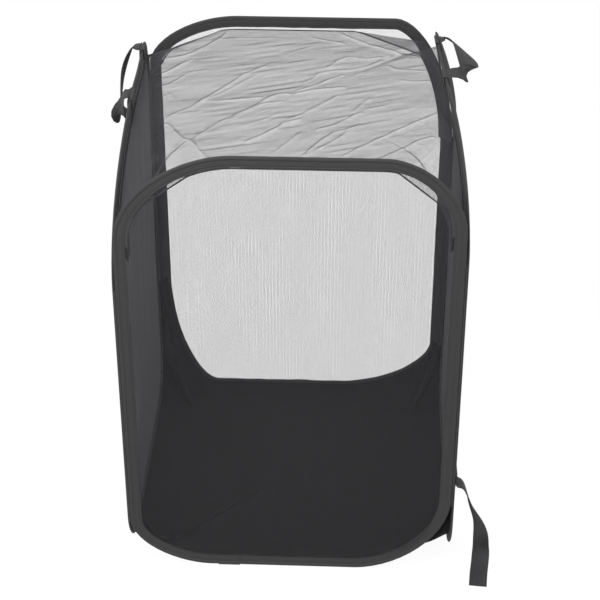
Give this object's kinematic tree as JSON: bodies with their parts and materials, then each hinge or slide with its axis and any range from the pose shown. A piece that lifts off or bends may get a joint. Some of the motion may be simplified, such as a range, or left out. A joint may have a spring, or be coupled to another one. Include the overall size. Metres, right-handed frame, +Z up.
{
  "type": "insect cage",
  "caption": "Pop-up net insect cage: upright box of sprung wire hoops in black tape, net walls and top, solid cloth floor, webbing handles and a closing strap.",
  "frame": {"origin": "on the ground under the middle of the cage, midway between the four vertical corner seams", "axes": "+Z up; the front panel faces -Y; +X to the viewer's right, where the closing strap is"},
  "size_m": [0.4323, 0.3822, 0.5298],
  "materials": {
    "tape": "matt black woven binding tape",
    "net": "fine black polyester net, mostly open",
    "floor": "matt black woven cloth",
    "webbing": "matt black woven webbing",
    "thread": "black seam roll",
    "steel": "flat sprung wire, hidden in the tape"
  },
  "bodies": {
    "front": {"front_wire": "steel", "front_ferrule": "steel", "front_binding": "tape", "front_binding_join": "tape", "front_net": "net", "floor_cloth": "floor", "top_net": "net", "top_hem": "tape", "front_left_corner_seam": "thread", "front_right_corner_seam": "thread"},
    "left_side": {"left_wire": "steel", "left_ferrule": "steel", "left_binding": "tape", "left_binding_join": "tape", "left_net": "net", "left_handle_front_end": "webbing", "left_handle_back_end": "webbing", "back_left_corner_seam": "thread"},
    "right_side": {"right_wire": "steel", "right_ferrule": "steel", "right_binding": "tape", "right_binding_join": "tape", "right_net": "net", "right_handle_front_end": "webbing", "right_handle_back_end": "webbing", "closing_strap_root": "webbing"},
    "back": {"back_wire": "steel", "back_ferrule": "steel", "back_binding": "tape", "back_binding_join": "tape", "back_net": "net", "back_right_corner_seam": "thread"},
    "left_handle": {"left_handle_loop": "webbing"},
    "right_handle": {"right_handle_loop": "webbing"},
    "closing_strap": {"closing_strap": "webbing"}
  },
  "joints": [
    {"name": "left_fold", "type": "hinge", "parent": "front", "child": "left_side", "pos_m": [-0.18, -0.173, 0], "axis": [0, 0, 1], "range_deg": [0, 75], "stiffness_Nm_per_rad": 0.5, "deforming": ["floor_cloth", "top_net", "top_hem"]},
    {"name": "right_fold", "type": "hinge", "parent": "front", "child": "right_side", "pos_m": [0.18, -0.173, 0], "axis": [0, 0, 1], "range_deg": [0, 75]},
    {"name": "back_fold", "type": "hinge", "parent": "left_side", "child": "back", "pos_m": [-0.18, 0.173, 0], "axis": [0, 0, 1], "range_deg": [-75, 0]},
    {"name": "left_handle_swing", "type": "hinge", "parent": "left_side", "child": "left_handle", "pos_m": [-0.17663, 0.0245, 0.52503], "axis": [-0.0152, 0.9995, 0.0275], "range_deg": [0, 150]},
    {"name": "right_handle_swing", "type": "hinge", "parent": "right_side", "child": "right_handle", "pos_m": [0.1596, 0.0695, 0.52714], "axis": [0.0629, -0.998, 0], "range_deg": [0, 110]},
    {"name": "closing_strap_swing", "type": "hinge", "parent": "right_side", "child": "closing_strap", "pos_m": [0.1852, -0.1615, 0.118], "axis": [0, -1, 0], "range_deg": [0, 100]}
  ],
  "couplings": [
    {"joint": "right_fold", "follows": "left_fold", "ratio": 1},
    {"joint": "back_fold", "follows": "left_fold", "ratio": -1}
  ]
}
